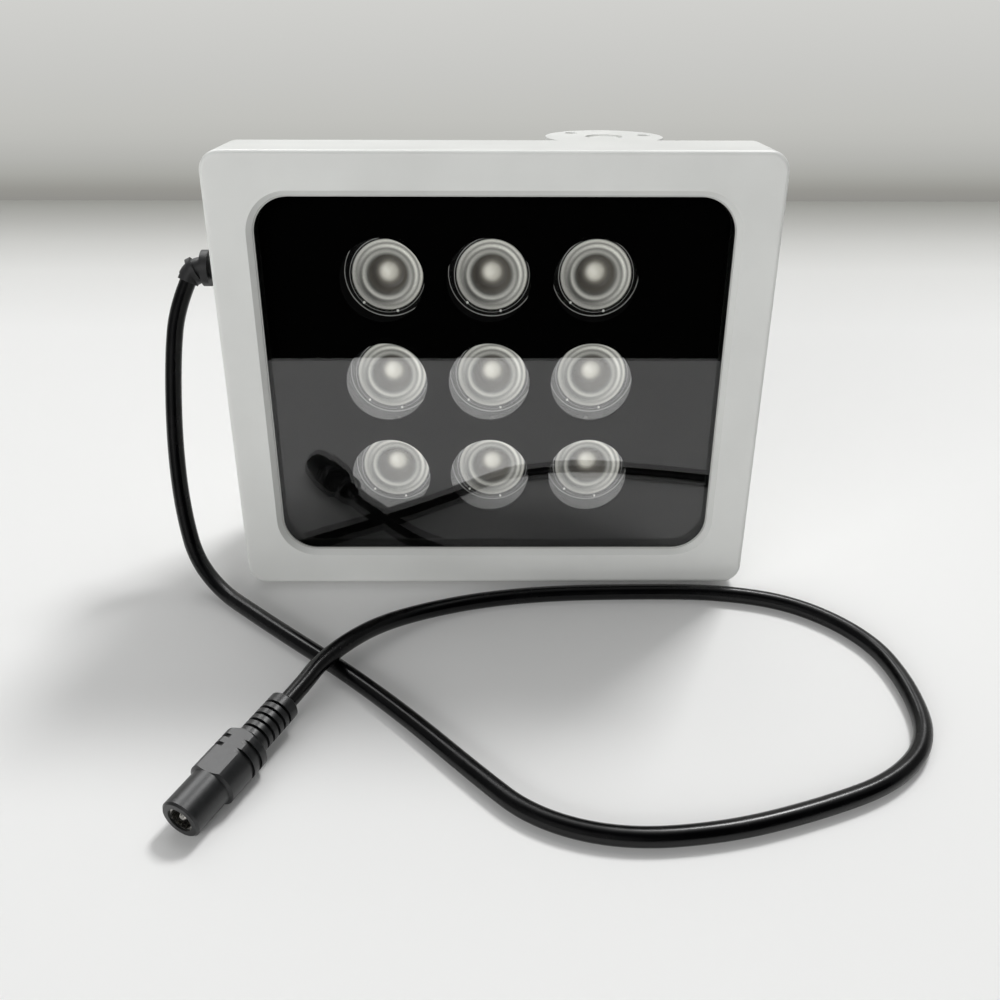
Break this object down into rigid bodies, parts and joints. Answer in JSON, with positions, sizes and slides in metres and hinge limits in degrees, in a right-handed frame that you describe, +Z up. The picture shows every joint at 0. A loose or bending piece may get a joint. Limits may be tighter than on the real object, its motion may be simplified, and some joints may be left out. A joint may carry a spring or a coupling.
{
  "type": "infrared illuminator",
  "caption": "Infrared flood lamp: lensed emitters behind black-printed glass in a white cast, finned housing, with a swivelling rear bracket and a power lead ending in a barrel socket.",
  "frame": {"origin": "middle of the lamp's and bracket's box, on the surface that the lamp stands on", "axes": "+X to the right as seen from the front, +Y from the glass towards the fins, +Z up; the lamp leans back by about five degrees"},
  "size_m": [0.2114, 0.208, 0.1274],
  "materials": {
    "white_paint": "cast, white powder coat",
    "glass": "clear, polished",
    "black_print": "opaque black ink on the glass",
    "silicone": "translucent grey silicone",
    "lens": "clear, moulded",
    "emitter": "white package with a clear dome",
    "emitter_board": "black solder mask",
    "bare_aluminium": "bare",
    "driver_board": "green solder mask",
    "black_plastic": "moulded",
    "steel": "stainless",
    "painted_steel": "white powder coat",
    "black_rubber": "satin black",
    "contact": "nickel plated"
  },
  "bodies": {
    "lamp": {"front_frame": "white_paint", "rear_housing": "white_paint", "bracket_base": "white_paint", "glass_panel": "glass", "window_print": "black_print", "glass_sealant": "silicone", "lens_1": "lens", "lens_2": "lens", "lens_3": "lens", "lens_4": "lens", "lens_5": "lens", "lens_6": "lens", "lens_7": "lens", "lens_8": "lens", "lens_9": "lens", "emitter_1": "emitter", "emitter_2": "emitter", "emitter_3": "emitter", "emitter_4": "emitter", "emitter_5": "emitter", "emitter_6": "emitter", "emitter_7": "emitter", "emitter_8": "emitter", "emitter_9": "emitter", "emitter_board": "emitter_board", "heat_plate": "bare_aluminium", "driver_capacitor_1": "bare_aluminium", "driver_capacitor_2": "bare_aluminium", "driver_board": "driver_board", "driver_coil": "black_plastic", "driver_chip": "black_plastic", "driver_terminal": "black_plastic", "socket_body": "black_plastic", "housing_screws": "steel", "board_screws": "steel", "driver_screws": "steel", "base_screws": "steel", "tilt_bolt": "steel", "tilt_nut": "steel", "housing_seal": "black_rubber", "cable_boot": "black_rubber", "cable": "black_rubber", "socket_sleeve": "contact", "socket_pin": "contact"},
    "tilt_block": {"pivot_block": "white_paint", "swing_screw": "steel"},
    "arm": {"arm": "white_paint", "foot_screw": "painted_steel"},
    "foot": {"foot": "white_paint"}
  },
  "joints": [
    {"name": "tilt", "type": "hinge", "parent": "lamp", "child": "tilt_block", "pos_m": [0, 0.02083, 0.0584], "axis": [-1, 0, 0], "range_deg": [0, 160]},
    {"name": "swing", "type": "hinge", "parent": "tilt_block", "child": "arm", "pos_m": [0, 0.02083, 0.0584], "axis": [0, 0.0905, 0.9959], "range_deg": [0, 150]},
    {"name": "foot_spin", "type": "hinge", "parent": "arm", "child": "foot", "pos_m": [0.0355, 0.0303, 0.05753], "axis": [0, 0.0905, 0.9959], "continuous": true}
  ]
}
